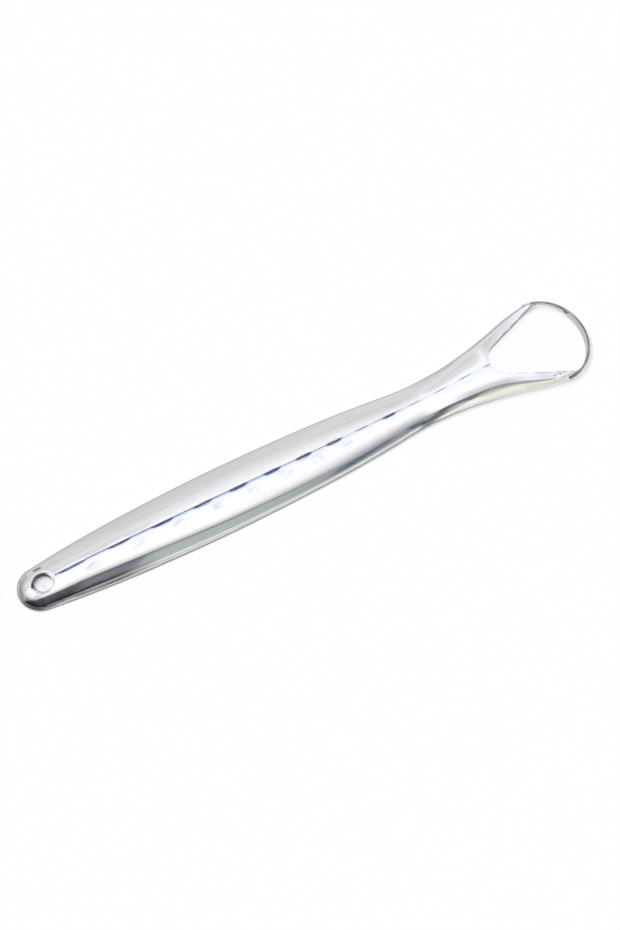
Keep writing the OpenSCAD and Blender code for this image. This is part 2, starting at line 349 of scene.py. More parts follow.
# Rays from the hang hole out to the rim of the round end, its sides and the first line across
def endRays(inset):
    shares = np.array(mesh["rayShares"])
    end, hole, radius = tool["endRadius"], tool["holePlace"], tool["holeRadius"]
    offset = hole - end
    rays = []

    def holeReach(turn):
        return -offset * math.sin(turn) + math.sqrt(radius**2 - (offset * math.cos(turn)) ** 2)

    for k in range(mesh["endRays"] + 1):
        turn = mix(math.pi / 2, tool["endTaper"], k / mesh["endRays"])
        start = float(angleOf(holeReach(turn) / (end - inset)))
        rays.append(endPoint(turn, mix(start, math.pi / 2, shares), inset))
    reach = holeReach(tool["endTaper"])
    holeStart = math.atan2(
        reach * math.cos(tool["endTaper"]), -offset - reach * math.sin(tool["endTaper"])
    )
    rim = math.pi / 2
    ends = [(mix(end, mesh["endPatch"], k / mesh["sideRays"]), rim) for k in range(1, mesh["sideRays"] + 1)]
    across = acrossAngles(mesh["endPatch"], 0, inset)[::-1]
    ends += [(mesh["endPatch"], angle) for angle in across[1:]]
    for k, (endPlace, endAngle) in enumerate(ends, 1):
        turn = holeStart * (1 - k / len(ends))
        x, y = hole + radius * math.cos(turn), radius * math.sin(turn)
        place, angle = archPlaceOf(x, y, inset)
        rays.append(archPoint(mix(place, endPlace, shares), mix(angle, endAngle, shares), inset))
    return rays


def skinGrids(inset):  # the round end, the handle with its arms, and the tongue
    rays, lines = np.array(endRays(inset)), np.array(halfLines(inset))
    root = lines[-1:, : mesh["innerSteps"] + 1]
    return rays, lines, np.concatenate([root, np.array(tongueLines(inset))])


# The outer skin's points and faces, and the point of the inner skin under each point
def joinedSkins():
    points, inner, faces = [], [], []
    for outerGrid, innerGrid in zip(skinGrids(0), skinGrids(tool["sheet"])):
        rows, columns = outerGrid.shape[:2]
        for side in (1, -1):
            first = len(points)
            flip = np.array([1, side, 1])
            points.extend(outerGrid.reshape(-1, 3) * flip)
            inner.extend(innerGrid.reshape(-1, 3) * flip)
            for i in range(rows - 1):
                for j in range(columns - 1):
                    a = first + i * columns + j
                    face = [a, a + columns, a + columns + 1, a + 1]
                    faces.append(face if side == 1 else face[::-1])
    points, inner = np.array(points), np.array(inner)
    # Borders that two grids share become one
    _, keep, index = np.unique(np.round(points, 5), axis=0, return_index=True, return_inverse=True)
    index = index.reshape(-1)
    return points[keep], inner[keep], [[int(index[v]) for v in face] for face in faces]


# Both skins, with walls between their open borders. The walls are the last faces
def handleMesh():
    points, inner, faces = joinedSkins()
    count = len(points)
    edges = dict.fromkeys(pair for face in faces for pair in zip(face, face[1:] + face[:1]))
    walls = [[b, a, a + count, b + count] for a, b in edges if (b, a) not in edges]
    back = [[v + count for v in face[::-1]] for face in faces]
    points = np.concatenate([points, inner])
    # Wear and its painted highlight are counted from the rim, not from the hole's and the window's borders
    # above it
    border = points[sorted({v for wall in walls for v in wall})]
    border = border[border[:, 2] < curveThrough(rimRows, border[:, 0]) + mesh["rimMargin"]]
    away = np.array([np.linalg.norm(border - point, axis=1).min() for point in points])
    return points, faces + back + walls, len(walls), away


def addObject(name, data):
    made = bpy.data.objects.new(name, data)
    bpy.context.scene.collection.objects.link(made)
    return made


def addMesh(name, points, faces):
    data = bpy.data.meshes.new(name)
    moved = (np.asarray(points, float) - [tool["length"] / 2, 0, 0]) * mm
    data.from_pydata(moved.tolist(), [], faces)
    data.validate()
    data.update()
    data.shade_smooth()
    return addObject(name, data)


def mark(piece, name, values):  # a value at each point, which the materials read
    piece.data.attributes.new(name, "FLOAT", "POINT").data.foreach_set("value", values)


def markWearSheen(piece, away):  # 1 along the cut edges, 0 a little away from them
    mark(piece, "edgeWearSheen", np.clip(1 - np.asarray(away, float) / wearSheenWidth, 0, 1))


def markBurr(piece, points):  # 1 along the window's edge, 0 a little outside it
    place, y = np.asarray(points)[:, 0], np.abs(np.asarray(points)[:, 1])
    fromArc = np.hypot(place - windowCenter, y) - tool["windowRadius"]
    lineY = armInner + (place - tool["shoulderPlace"]) * math.tan(windowSpread)
    fromLine = (y - lineY) * math.cos(windowSpread)
    away = np.where(place < windowCenter - tool["windowRadius"] * math.sin(windowSpread), fromArc, fromLine)
    mark(piece, "windowBurr", np.clip(1 - away / burrWidth, 0, 1))


def markFromCrease(piece, points):  # millimetres from the flange's crease towards the crest
    place, y = np.asarray(points)[:, 0], np.abs(np.asarray(points)[:, 1])
    reach = halfWidth(place)
    depth = curveThrough(crestRows, place) - curveThrough(rimRows, place)
    steepness = reach / depth * math.tan(tool["flangeSlope"])
    fall = tool["topFall"]
    crease = (steepness - np.sqrt(steepness**2 - 4 * fall * (steepness - 1))) / (2 * fall)
    mark(piece, "fromCrease", crease * reach - y)


def roundEdges(piece):
    bevel = piece.modifiers.new("roundedEdges", "BEVEL")
    bevel.width = tool["holeRound"] * mm
    bevel.segments = mesh["bevelSteps"]
    bevel.limit_method = "WEIGHT"
    smooth = piece.modifiers.new("smoothSheet", "SUBSURF")
    smooth.levels = smooth.render_levels = mesh["smoothLevels"]


def markEdges(piece, weightOf):
    data = piece.data
    weights = data.attributes.new("bevel_weight_edge", "FLOAT", "EDGE")
    normals = {}
    for polygon in data.polygons:
        for key in polygon.edge_keys:
            normals.setdefault(key, []).append(polygon.normal)
    for edge in data.edges:
        pair = normals[edge.key]
        if len(pair) == 2 and pair[0].dot(pair[1]) < mesh["sharpTurn"]:
            middle = (data.vertices[edge.vertices[0]].co + data.vertices[edge.vertices[1]].co) / 2
            weights.data[edge.index].value = weightOf(middle / mm)


points, faces, wallCount, awayFromEdge = handleMesh()
handle = addMesh("handleShell", points, faces)
markWearSheen(handle, awayFromEdge)
markBurr(handle, points)
markFromCrease(handle, points)
for polygon in handle.data.polygons[-wallCount:]:
    polygon.material_index = 1


def handleWeight(middle):  # rounding of an edge, as a share of the hang hole's
    place = middle.x + tool["length"] / 2
    if math.hypot(place - tool["holePlace"], middle.y) < tool["holeRadius"] + mesh["holeReach"]:
        return 1.0
    inside = abs(middle.y) < float(halfWidth(place)) - mesh["rimReach"]
    if inside and place > tool["windowPlace"] - mesh["windowStart"]:
        return tool["windowRound"] / tool["holeRound"]
    return tool["edgeRound"] / tool["holeRound"]


markEdges(handle, handleWeight)
roundEdges(handle)
print("handle shell built")


# The strip's section at an angle from the tip, with its corners rounded
def stripRing(angle):
    radius, steps = strip["edgeRound"], strip["cornerSteps"]
    lean = strip["overhang"] * math.cos(angle) ** 2
    blade = smoothStep((strip["bladeAngle"] - abs(angle)) / strip["bladeStepAngle"] + 0.5)
    plain = mix(tool["headLift"], strip["foot"] + strip["bladeStep"], math.cos(angle) ** 2)
    foot = plain - strip["bladeStep"] * blade
    thick, top = strip["thickness"], strip["top"]
    corners = [(0, top, 0), (thick, top, 90), (thick, foot, 180), (0, foot, 270)]
    ring = []
    # Corner arcs with a few points down the broad faces between them
    for depth, height, turn in corners:
        insideDepth = depth + (radius if depth == 0 else -radius)
        insideHeight = height + (radius if height == foot else -radius)
        for k in range(steps + 1):
            a = math.radians(180 - turn - 90 * k / steps)
            ring.append((insideDepth + radius * math.cos(a), insideHeight + radius * math.sin(a)))
        if turn in (90, 270):
            end = (depth, foot + radius if turn == 90 else top - radius)
            start = ring[-1]
            for share in strip["faceShares"]:
                ring.append((depth, mix(start[1], end[1], share)))
    return [(*hoopPoint(angle, d + lean * (top - z) / (top - foot)), z) for d, z in ring]


def sweptMesh(rings):
    size = len(rings[0])
    points = [p for ring in rings for p in ring]
    faces = []
    for i in range(len(rings) - 1):
        for k in range(size):
            a, b = i * size + k, i * size + (k + 1) % size
            faces.append([a, b, b + size, a + size])
    faces.append(list(range(size))[::-1])
    faces.append([(len(rings) - 1) * size + k for k in range(size)])
    return points, faces


hoopSteps = strip["steps"]
rings = [stripRing(math.radians(mix(-90, 90, i / hoopSteps))) for i in range(hoopSteps + 1)]
hoop = addMesh("scrapingHoop", *sweptMesh(rings))
ringSize = len(rings[0])
for polygon in hoop.data.polygons[: hoopSteps * ringSize]:
    step, k = divmod(polygon.index, ringSize)
    if step > hoopSteps * (1 - strip["blendedShare"]):
        polygon.material_index = 2
    elif k in strip["cutFaces"]:
        polygon.material_index = 1
hoopPoints = range(len(hoop.data.vertices))
markWearSheen(hoop, [wearSheenWidth if k % ringSize in strip["broadPoints"] else 0 for k in hoopPoints])
print("scraping hoop built")

bead = {
    "length": 2.2,
    "width": 0.5,
    "height": 0.6,
    "endShare": 0.12,
    "taper": 1.5,
    "rings": 20,
    "ringSteps": 16,
}


def beadRings(side):
    turn = math.atan(bead["length"] / hoopLength)
    middle = mix(tool["headLift"], strip["top"], 0.5)
    rings = []
    for i in range(bead["rings"] + 1):
        share = i / bead["rings"]
        angle = tongueAngle - turn * share
        size = mix(1, bead["endShare"], share ** bead["taper"])
        ring = []
        for k in range(bead["ringSteps"] + 1):
            lift = math.radians(90 - 180 * k / bead["ringSteps"])
            inward = strip["thickness"] + strip["fitGap"] + bead["width"] * size * math.cos(lift)
            x, y = hoopPoint(angle, inward)
            ring.append((x, side * y, middle + bead["height"] / 2 * size * math.sin(lift)))
        rings.append(ring if side < 0 else ring[::-1])
    return rings


farBead = addMesh("farJointBead", *sweptMesh(beadRings(1)))
nearBead = addMesh("nearJointBead", *sweptMesh(beadRings(-1)))
print("joining beads built")

for piece, node, slot in (
    (handle, "handle_shell", "polished_steel"),
    (hoop, "scraping_hoop", "polished_steel"),
    (farBead, "far_joint_bead", "weld_steel"),
    (nearBead, "near_joint_bead", "weld_steel"),
):
    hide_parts(node)
    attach(piece, "root")
print("pieces placed on the frame")

view = {
    "azimuth": math.radians(-28.3),
    "elevation": math.radians(63.8),
    "distance": 0.6,
    "focalPixels": 2556.0,
    "originPixel": (307.9, 459.25),
    "frame": (620, 930),
    "sensor": 36.0,
    "clip": (0.01, 20),
}


def addCamera():
    a, e = view["azimuth"], view["elevation"]
    back = Vector((math.sin(a) * math.cos(e), -math.cos(a) * math.cos(e), math.sin(e)))
    right = Vector((math.cos(a), math.sin(a), 0))
    up = back.cross(right)
    data = bpy.data.cameras.new("photoCamera")
    camera = addObject("photoCamera", data)
    rotation = Matrix((right, up, back)).transposed().to_4x4()
    camera.matrix_world = Matrix.Translation(back * view["distance"]) @ rotation
    wide, tall = view["frame"]
    data.sensor_width = view["sensor"]
    data.lens = view["focalPixels"] * view["sensor"] / max(wide, tall)
    data.shift_x = (wide / 2 - view["originPixel"][0]) / max(wide, tall)
    data.shift_y = (view["originPixel"][1] - tall / 2) / max(wide, tall)
    data.clip_start, data.clip_end = view["clip"]
    bpy.context.scene.camera = camera


addCamera()


class Wires:
    # Adds nodes to a tree and links what they are given: a socket, a number or a tuple
    def __init__(self, tree):
        self.tree = tree

    def add(self, kind, inputs=(), **settings):
        node = self.tree.nodes.new(kind)
        for key, value in settings.items():
            setattr(node, key, value)
        self.fill(node, inputs)
        return node

    def fill(self, node, inputs):
        for key, value in dict(inputs).items():
            if isinstance(value, bpy.types.NodeSocket):
                self.tree.links.new(value, node.inputs[key])
            else:
                node.inputs[key].default_value = value

    def math(self, operation, *values):
        return self.add("ShaderNodeMath", enumerate(values), operation=operation).outputs[0]

    def product(self, first, *others):
        for other in others:
            first = self.math("MULTIPLY", first, other)
        return first

    def between(self, value, low, high, toLow=0.0, toHigh=1.0, soft=True):
        node = self.add(
            "ShaderNodeMapRange",
            {"Value": value, 1: low, 2: high, 3: toLow, 4: toHigh},
            interpolation_type="SMOOTHSTEP" if soft else "LINEAR",
        )
        return node.outputs[0]

    # Two stops are where a ramp starts and ends, four are where it starts, is full, leaves that
    # and is back. The ends are its values outside and where it is full.
    def ramp(self, value, stops, ends=None):
        if len(stops) == 2:
            return self.between(value, *stops, *(ends or ()))
        start, full, fading, end = stops
        mask = self.product(self.between(value, start, full), self.between(value, end, fading))
        return self.between(mask, 0.0, 1.0, *ends) if ends else mask

    def zone(self, values, rows):  # product of ramps over the values that the rows name
        return self.product(*(self.ramp(values[name], *stops) for name, *stops in rows))

    def blend(self, share, first, second, blendType="MIX"):
        inputs = {0: share, 6: first, 7: second}
        return self.add("ShaderNodeMix", inputs, data_type="RGBA", blend_type=blendType).outputs[2]

    def scaled(self, color, value):
        return self.blend(1.0, color, value, "MULTIPLY")

    def attribute(self, name):
        return self.add("ShaderNodeAttribute", attribute_name=name).outputs["Fac"]

    def group(self, tree):
        return self.add("ShaderNodeGroup", node_tree=tree).outputs

    def objectPlace(self):
        return self.add("ShaderNodeTexCoord").outputs["Object"]

    def noise(self, place, stretch, scale, detail=2.0):
        moved = self.add("ShaderNodeMapping", {0: place, 3: stretch}).outputs[0]
        made = self.add("ShaderNodeTexNoise", {"Vector": moved, "Scale": scale, "Detail": detail})
        return made.outputs[0]


def addMaterial(name):
    material = bpy.data.materials.new(name)
    material.use_nodes = True
    shader = next(n for n in material.node_tree.nodes if n.type == "BSDF_PRINCIPLED")
    return material, shader, Wires(material.node_tree)


def addGroup(name, *outputs):
    tree = bpy.data.node_groups.new(name, "ShaderNodeTree")
    for output in outputs:
        tree.interface.new_socket(output, in_out="OUTPUT", socket_type="NodeSocketFloat")
    return tree, Wires(tree)


# Effects that more than one material uses
shared = {
    "broadGrain": (60, 900, 900),  # per metre along the tool, across it and up
    "fineGrain": (300, 7000, 7000),
    "broadShare": 0.65,
    "noiseRange": (0.3, 0.7),  # nearly all of a noise's values lie between these
    "wearSheenNoise": 260.0,
    "wearSheenShift": (-0.22, 0.12),
    "wearSheenFrom": (0.25, 0.75),
}
evenly = (1, 1, 1)  # no stretch of a noise
holeAlong = tool["holePlace"] - tool["length"] / 2  # from the tool's middle


# Fine brushed grain that runs along the tool. Outputs: a tone about 0.5 and a height about 0.5
def grainGroup():
    tree, w = addGroup("brushedGrain", "Tone", "Height")
    place, share = w.objectPlace(), shared["broadShare"]
    broad = w.noise(place, shared["broadGrain"], 1.0, 3.0)
    fine = w.noise(place, shared["fineGrain"], 1.0, 2.0)
    tone = w.math("ADD", w.product(broad, share), w.product(fine, 1 - share))
    w.add("NodeGroupOutput", {"Tone": tone, "Height": fine})
    return tree


# Rubbed line along the cut edges, partly wear and partly a painted highlight, broken up here and there
def wearSheenGroup():
    tree, w = addGroup("edgeWearSheen", "Mask")
    uneven = w.noise(w.objectPlace(), evenly, shared["wearSheenNoise"], 3.0)
    shift = w.between(uneven, *shared["noiseRange"], *shared["wearSheenShift"], False)
    shifted = w.math("ADD", w.attribute("edgeWearSheen"), shift)
    w.add("NodeGroupOutput", {"Mask": w.between(shifted, *shared["wearSheenFrom"])})
    return tree


# Distance from the hang hole's axis, in millimetres
def holeGroup():
    tree, w = addGroup("holeDistance", "Distance")
    result, center = w.objectPlace(), (holeAlong * mm, 0, 0)
    for operation, other in (("SUBTRACT", center), ("MULTIPLY", (1 / mm, 1 / mm, 0))):
        result = w.add("ShaderNodeVectorMath", {0: result, 1: other}, operation=operation).outputs[0]
    length = w.add("ShaderNodeVectorMath", {0: result}, operation="LENGTH").outputs["Value"]
    w.add("NodeGroupOutput", {"Distance": length})
    return tree


grainTree, wearSheenTree, holeTree = grainGroup(), wearSheenGroup(), holeGroup()

# A zone is rows of a value's name, the stops of a ramp over it and, if they aren't 0 and 1, the
# ramp's ends. The values are made in steelValues. Places are millimetres from the tool's middle:
# along it towards the hoop, across it towards the far side.
polish = {
    "color": (0.60, 0.60, 0.61),
    "edgeTint": (0.62, 0.62, 0.65),
    "toneShade": (0.93, 1.05),
    # painted shade: the hoop's colour is a little darker
    "hoopShade": 0.93,
    "hoopAlong": (65.0, 67.5),
    "roughness": (0.035, 0.09),
    "scratchHeight": (0.6, 0.78),  # the deeper brush lines
    "scratchRough": 0.22,
    "grainHeight": 0.0003,
    "rolls": {  # faint marks that the rolls left on the crest
        "start": -61.0,
        "perLength": 0.078,
        "closer": 0.00037,  # they come more often towards the hoop
        "noise": 55.0,
        "noiseRange": (0.25, 0.75),
        "wobble": (-0.3, 0.3),
        "lag": 2.1,  # of the painted shade strokes beside the marks, in radians
    },
    "crest": {  # creased a little, more softly at each roll mark
        "slope": 0.026,
        "fade": 1.5,
        "shift": (("along", (-30.0, 5.0), (0.37, 0.2)),),  # of the crease, to the far side
        "softness": (
            ("wave", (-0.35, 1.0), (0.08, 1.15)),
            ("along", (8.5, 10.5, 17.0, 18.5), (1.0, 0.15)),
            ("along", (23.5, 26.5), (1.0, 0.1)),
            ("along", (-44.0, -56.0), (1.0, 1.5)),
        ),
    },
    "rippleShade": {  # painted shade: darker strokes standing in for the ripples' reflections on the near slope, one group per roll mark, and on top of the near arm
        "color": (0.41, 0.41, 0.45),
        "share": 0.85,
        "strokeSize": (4.0, 0.36),
        "slant": 0.2,
        "strokes": (0.42, 0.62),
        "slope": (
            ("across", (-3.6, -2.2, -1.6, -0.5)),
            ("along", (4.0, 18.0), (1.0, 0.12)),
            ("lateWave", (0.1, 0.9)),
        ),
        "arm": (("along", (55.0, 60.0)), ("across", (-4.0, -7.0)), ("up", (0.8, 0.92))),
        "armPlain": 0.3,  # share of the arm's gray that isn't strokes
    },
    "rubbedSheen": {  # along the cut edges: a paler colour that is partly wear and partly a painted highlight
        "color": (0.94, 0.94, 0.89),
        "rough": 0.06,
        "zone": (("onHoop", (0.0, 1.0), (1.0, 0.45)), ("along", (-67.5, -70.5), (1.0, 0.12))),
    },
    # painted shade and dark reflections, near black
    "paintedShade": {
        "color": (0.045, 0.043, 0.05),
        "uneven": (-0.4, 0.4),
        "lipTowards": (-0.5, 0.87),
        "zones": (
            # Painted shade and dark reflections: on the foot of the round end, in a streaky band from
            # there, on one side of the hole's lip and in a small dark mark on the far side
            (("uneven", (1.9, 0.5)), ("along", (-69.0, -72.0)), ("across", (1.0, -3.2), (0.25, 0.9))),
            (
                ("uneven", (0.3, 0.6, 1.7, 2.3)),
                ("along", (-40.0, -52.0)),
                ("across", (0.0, -2.0)),
                ("tone", (0.38, 0.62), (0.5, 0.85)),
            ),
            (("fromHole", (2.68, 2.38)), ("lipSide", (-0.4, 1.0), (0.0, 0.85))),
            (
                ("along", (-69.8, -69.0, -67.9, -67.1)),
                ("across", (3.3, 3.6), (0.0, 0.8)),
                ("across", (4.2, 3.9)),
            ),
        ),
    },
    "burr": {  # along the window's edge
        "color": (0.13, 0.13, 0.16),
        "noise": 500.0,
        "zone": (("windowBurr", (0.15, 0.7)), ("broken", (0.3, 0.6)), ("along", (50, 57), (0.15, 0.75))),
    },
    "crease": {  # the head's flanges are rubbed dull along their crease; the paler colour there is a painted highlight
        "color": (0.94, 0.94, 0.89),
        "share": 0.6,
        "rough": 0.34,
        "zone": (("along", (40.0, 46.0, 56.5, 60.0)), ("up", (0.5, 0.6, 0.9, 0.97))),
    },
    "rolledShade": {  # painted shade: a gray band above the near crease, standing in for the top rolling over into it
        "color": (0.35, 0.355, 0.38),
        "zone": (
            ("fromCrease", (-0.1, 0.4, 0.7, 2.4)),
            ("across", (-1.0, -3.0)),
            ("along", (34.0, 42.0)),
            ("along", (50.0, 57.0), (1.0, 0.2)),
        ),
    },
    "paintedCrescent": {  # painted dark reflection: a crescent that starts at the rim beside the neck and runs up to the near crease
        "color": (0.13, 0.15, 0.19),
        "share": 0.85,
        "start": (26.5, -1.15),  # along, and from the crease
        "rise": 0.135,
        "zone": (("fromCrescent", (0.75, 0.3)), ("across", (-1.0, -3.0)), ("along", (26.0, 29.0, 33.0, 38.0))),
    },
    "flange": {  # painted reflection: a paler, greener tint on the head's steep near side
        "color": (0.67, 0.695, 0.635),
        "share": 0.75,
        "zone": (
            ("along", (38.0, 46.0)),
            ("up", (0.68, 0.56)),
            ("across", (-1.0, -3.0)),
            ("onHoop", (1.0, 0.0)),
        ),
    },
    "drop": {  # painted highlight on a small bump left by the welding on the near arm
        "color": (0.95, 0.95, 0.94),
        "place": (62.4, -9.75),
        "size": (0.8, 0.4),
        "height": 0.05,
    },
}


def rollWaves(w, place, along):  # the marks' wave along the tool, and one that lags it
    rolls = polish["rolls"]
    uneven = w.noise(place, (1, 0, 0), rolls["noise"], 1.0)
    wobble = w.between(uneven, *rolls["noiseRange"], *rolls["wobble"], False)
    run = w.math("SUBTRACT", along, rolls["start"])
    often = w.math("MULTIPLY_ADD", run, rolls["closer"] * math.tau, rolls["perLength"] * math.tau)
    turns = w.product(run, often)
    return (
        w.math("COSINE", w.math("ADD", turns, wobble)),
        w.math("COSINE", w.math("ADD", w.math("SUBTRACT", turns, rolls["lag"]), wobble)),
    )


def steelValues(w):  # what the marks on the steel are placed by
    place = w.objectPlace()
    axes = w.add("ShaderNodeSeparateXYZ", {0: place}).outputs
    along, across, height = (w.product(axis, 1 / mm) for axis in axes)
    wave, lateWave = rollWaves(w, place, along)
    normal = w.add("ShaderNodeNewGeometry").outputs["Normal"]
    brushed = w.group(grainTree)
    shift = w.between(brushed["Tone"], *shared["noiseRange"], *polish["paintedShade"]["uneven"])
    lipX, lipY = polish["paintedShade"]["lipTowards"]
    lipAlong = w.product(w.math("SUBTRACT", along, holeAlong), lipX)
    fromCrease, (crescentAlong, crescentStart) = w.attribute("fromCrease"), polish["paintedCrescent"]["start"]
    crescentRun = w.math("SUBTRACT", along, crescentAlong)
    paintedCrescent = w.math("MULTIPLY_ADD", crescentRun, polish["paintedCrescent"]["rise"], crescentStart)
    return {
        "along": along,
        "across": across,
        "up": w.add("ShaderNodeSeparateXYZ", {0: normal}).outputs[2],  # 1 on a level surface
        "tone": brushed["Tone"],
        "fine": brushed["Height"],
        "wave": wave,
        "lateWave": lateWave,
        "uneven": w.math("ADD", height, shift),
        "onHoop": w.between(along, *polish["hoopAlong"]),
        "windowBurr": w.attribute("windowBurr"),
        "broken": w.noise(place, evenly, polish["burr"]["noise"]),
        "fromHole": w.group(holeTree)[0],
        "lipSide": w.math("MULTIPLY_ADD", across, lipY, lipAlong),
        "fromCrease": fromCrease,
        "fromCrescent": w.math("ABSOLUTE", w.math("SUBTRACT", fromCrease, paintedCrescent)),
    }


def crestCrease(w, at):  # height that gives the crest its crease
    crest = polish["crest"]
    softness = w.zone(at, crest["softness"])
    off = w.math("SUBTRACT", at["across"], w.zone(at, crest["shift"]))
    squares = w.math("ADD", w.product(off, off), w.product(softness, softness))
    fall = w.product(w.math("SQRT", squares), -1 / crest["fade"])
    return w.product(w.math("EXPONENT", fall), crest["slope"] * crest["fade"])


# painted shade: darker strokes standing in for the ripples' reflections, and a gray on the near arm
def rippleShadeMask(w, at):
    rippleShade = polish["rippleShade"]
    slant = w.math("SUBTRACT", at["across"], w.product(at["along"], rippleShade["slant"]))
    sides = (w.math("DIVIDE", side, size) for side, size in zip((at["along"], slant), rippleShade["strokeSize"]))
    stroke = w.add("ShaderNodeCombineXYZ", enumerate(sides)).outputs[0]
    strokes = w.between(w.noise(stroke, evenly, 1.0, 1.0), *rippleShade["strokes"])
    onSlope = w.product(strokes, w.zone(at, rippleShade["slope"]))
    gray = w.math("MULTIPLY_ADD", strokes, 1 - rippleShade["armPlain"], rippleShade["armPlain"])
    return w.math("ADD", onSlope, w.product(gray, w.zone(at, rippleShade["arm"])))


# painted shade and dark reflections
def paintedShadeMask(w, at):
    mask = 0.0
    for rows in polish["paintedShade"]["zones"]:
        mask = w.math("MAXIMUM", mask, w.zone(at, rows))
    return mask


# painted highlight on the weld drop
def dropMask(w, at):
    drop, squares = polish["drop"], []
    for name, middle, size in zip(("along", "across"), drop["place"], drop["size"]):
        side = w.math("DIVIDE", w.math("SUBTRACT", at[name], middle), size)
        squares.append(w.product(side, side))
    return w.math("EXPONENT", w.product(w.math("ADD", *squares), -1.0))


def addPolishedSteel():
    material, shader, w = addMaterial("polishedSteel")
    at = steelValues(w)
    # the cut edges' paler colour is partly wear and partly a painted highlight
    wornSheen = w.product(w.group(wearSheenTree)[0], w.zone(at, polish["rubbedSheen"]["zone"]))
    masks = {"rippleShade": rippleShadeMask(w, at), "rubbedSheen": wornSheen, "paintedShade": paintedShadeMask(w, at)}
    for name in ("burr", "crease", "rolledShade", "paintedCrescent", "flange"):
        masks[name] = w.zone(at, polish[name]["zone"])
    masks["drop"] = dropMask(w, at)
    shade = w.between(at["tone"], *shared["noiseRange"], *polish["toneShade"], False)
    shade = w.product(shade, w.ramp(at["onHoop"], (0.0, 1.0), (1.0, polish["hoopShade"])))
    color = w.scaled((*polish["color"], 1), shade)
    for name, mask in masks.items():
        look = polish[name]
        color = w.blend(w.product(mask, look.get("share", 1.0)), color, (*look["color"], 1))
    rough = w.between(at["tone"], *shared["noiseRange"], *polish["roughness"], False)
    scratch = w.between(at["fine"], *polish["scratchHeight"], 0.0, polish["scratchRough"], False)
    rough = w.math("ADD", rough, scratch)
    for name in ("rubbedSheen", "crease"):
        rough = w.math("ADD", rough, w.product(masks[name], polish[name]["rough"]))
    height = w.math("ADD", crestCrease(w, at), w.product(at["fine"], polish["grainHeight"]))
    height = w.math("ADD", height, w.product(masks["drop"], polish["drop"]["height"]))
    bump = w.add("ShaderNodeBump", {"Height": height, "Distance": mm, "Strength": 1.0}).outputs[0]
    w.fill(shader, {"Base Color": color, "Roughness": rough, "Normal": bump, "Metallic": 1.0})
    w.fill(shader, {"Specular Tint": (*polish["edgeTint"], 1)})
    return material


# The sheared edges of the sheet and the strip, tumbled but not polished
cut = {
    "color": (0.17, 0.17, 0.185),
    "second": (0.42, 0.42, 0.43),
    "noise": (420.0, 3.0),
    "patches": (0.45, 0.8),
    "roughness": (0.24, 0.42),
    "bump": 0.00002,
    "holeWallShade": (0.02, 0.02, 0.025),  # painted shade on the hang hole's wall
    "holeWallShadeFrom": (3.0, 2.5),
}

weld = {
    "color": (0.56, 0.54, 0.50),
    "second": (0.20, 0.19, 0.19),
    "noise": (1400.0, 2.0),
    "patches": (0.4, 0.75),
    "roughness": (0.16, 0.34),
    "bump": 0.00005,
}


# A metal in two patchy tones
def addPatchySteel(name, look):
    material, shader, w = addMaterial(name)
    patch = w.noise(w.objectPlace(), evenly, *look["noise"])
    color = w.blend(w.between(patch, *look["patches"]), (*look["color"], 1), (*look["second"], 1))
    # painted shade on the hang hole's wall
    if "holeWallShade" in look:
        holeWallShade = w.between(w.group(holeTree)[0], *look["holeWallShadeFrom"])
        color = w.blend(holeWallShade, color, (*look["holeWallShade"], 1))
    tone = w.group(grainTree)["Tone"]
    rough = w.between(tone, *shared["noiseRange"], *look["roughness"], False)
    bumps = {"Height": patch, "Distance": look["bump"], "Strength": 1.0}
    bump = w.add("ShaderNodeBump", bumps).outputs[0]
    w.fill(shader, {"Base Color": color, "Roughness": rough, "Normal": bump, "Metallic": 1.0})
    return material


polishedSteel = addPolishedSteel()
cutSteel, weldSteel = addPatchySteel("cutSteel", cut), addPatchySteel("weldSteel", weld)
for piece in (handle, hoop):
    piece.data.materials.append(polishedSteel)
    piece.data.materials.append(cutSteel)
for piece in (hoop, farBead, nearBead):
    piece.data.materials.append(weldSteel)
print("materials made")

studio = {
    "floorColor": (0.97, 0.965, 0.955),
    "floorRoughness": 0.9,
    "floorReach": 1.6,  # from its middle to its edges
    "floorDrop": 0.02,  # millimetres under the tool
    "whiteShare": 0.95,  # of the floor's plain white, which keeps the shadows faint
    "skySamples": 12,
    "contact": {  # right beside the tool, on the side away from the main light
        "color": (0.16, 0.16, 0.18),
        "hoopColor": (0.50, 0.50, 0.60),
        "hoopAlong": (40, 64),
        "lightFrom": (-0.25, 0.75, 0.6),
        "width": ((-20, 60), (0.00075, 0.0018)),  # two places along the tool, and metres there
        "lit": (0.9, 0.45),  # shares of open sky where the shadow starts and is full
    },
    "shade": {"color": (0.66, 0.66, 0.80), "width": 0.0035, "sky": (0.72, 0.26)},
    "hole": {"color": (0.08, 0.08, 0.10), "from": (4.3, 3.6), "sky": (0.53, 0.33)},
}


def floorShadow(w, isCamera):  # the tool's soft shadows, as the colour of the floor's white
    contact, shade, inHole = studio["contact"], studio["shade"], studio["hole"]
    along = w.product(w.add("ShaderNodeSeparateXYZ", {0: w.objectPlace()}).outputs[0], 1 / mm)
    toLight = w.add("ShaderNodeCombineXYZ", enumerate(contact["lightFrom"])).outputs[0]

    def openSky(inputs):
        return w.add("ShaderNodeAmbientOcclusion", inputs, samples=studio["skySamples"]).outputs["AO"]

    lit = openSky({"Distance": w.ramp(along, *contact["width"]), "Normal": toLight})
    sky = openSky({"Distance": shade["width"]})
    color = w.blend(w.between(sky, *shade["sky"]), (1, 1, 1, 1), (*shade["color"], 1))
    dark = w.product(w.between(w.group(holeTree)[0], *inHole["from"]), w.between(sky, *inHole["sky"]))
    color = w.blend(dark, color, (*inHole["color"], 1))
    atHoop = w.between(along, *contact["hoopAlong"])
    contactColor = w.blend(atHoop, (*contact["color"], 1), (*contact["hoopColor"], 1))
    return w.blend(w.product(w.between(lit, *contact["lit"]), isCamera), color, contactColor)


